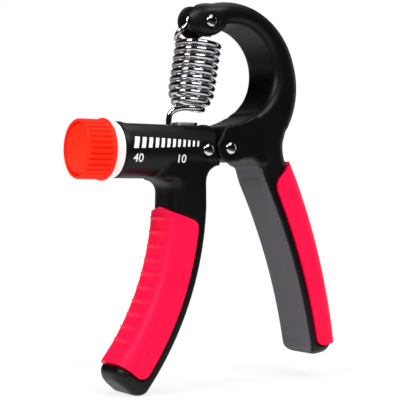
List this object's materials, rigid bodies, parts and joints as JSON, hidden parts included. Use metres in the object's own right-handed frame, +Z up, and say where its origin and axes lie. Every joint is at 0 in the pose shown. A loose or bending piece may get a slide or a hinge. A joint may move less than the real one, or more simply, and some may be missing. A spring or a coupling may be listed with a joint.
{
  "type": "hand gripper",
  "caption": "Adjustable hand gripper: barrel with finger handle, C-shaped spring arm with palm handle, extension spring and a ribbed knob that sets the force.",
  "frame": {"origin": "centre of the whole gripper's box at rest", "axes": "+X along the barrel, from the knob to the pivot; +Z up, from the handles' ends to the ring; +Y in depth, along the pivot's axis"},
  "size_m": [0.1138, 0.0248, 0.1473],
  "materials": {
    "black_plastic": "satin black",
    "satin_plastic": "satin dark grey",
    "red_rubber": "soft matt red",
    "orange_plastic": "orange-red",
    "white_plastic": "white",
    "steel": "plated",
    "chrome": "bright"
  },
  "bodies": {
    "grip_body": {"body_moulding": "black_plastic", "body_inner_cover": "satin_plastic", "left_grip_cover": "red_rubber", "pivot_block": "steel", "body_rivet": "chrome", "barrel_collar": "white_plastic"},
    "spring_arm": {"arm_moulding": "black_plastic", "arm_inner_cover": "satin_plastic", "right_grip_cover": "red_rubber", "pivot_rivet": "chrome", "pivot_bush": "steel", "spring_pin_rivet": "chrome", "hook_roller": "steel", "spring": "chrome"},
    "knob_group": {"knob": "orange_plastic", "knob_cap": "orange_plastic", "knob_screw": "steel", "lead_screw": "steel", "thrust_washer": "steel", "screw_clip": "steel"},
    "slider_group": {"slider_nut": "steel", "slider_shackle": "steel"}
  },
  "joints": [
    {"name": "arm_squeeze", "type": "hinge", "parent": "grip_body", "child": "spring_arm", "pos_m": [0.00305, 0, 0.01752], "axis": [0, 1, 0], "range_deg": [0, 38], "stiffness_Nm_per_rad": 2, "springref_deg": -17.19, "deforming": ["spring"]},
    {"name": "knob_turn", "type": "hinge", "parent": "grip_body", "child": "knob_group", "pos_m": [-0.05, 0, 0.01632], "axis": [1, 0, 0], "range_deg": [0, 3241]},
    {"name": "slider_slide", "type": "slide", "parent": "grip_body", "child": "slider_group", "axis": [-1, 0, 0], "range_m": [0, 0.018]}
  ],
  "couplings": [
    {"joint": "knob_turn", "follows": "slider_slide", "rad_per_m": 3141.6}
  ]
}
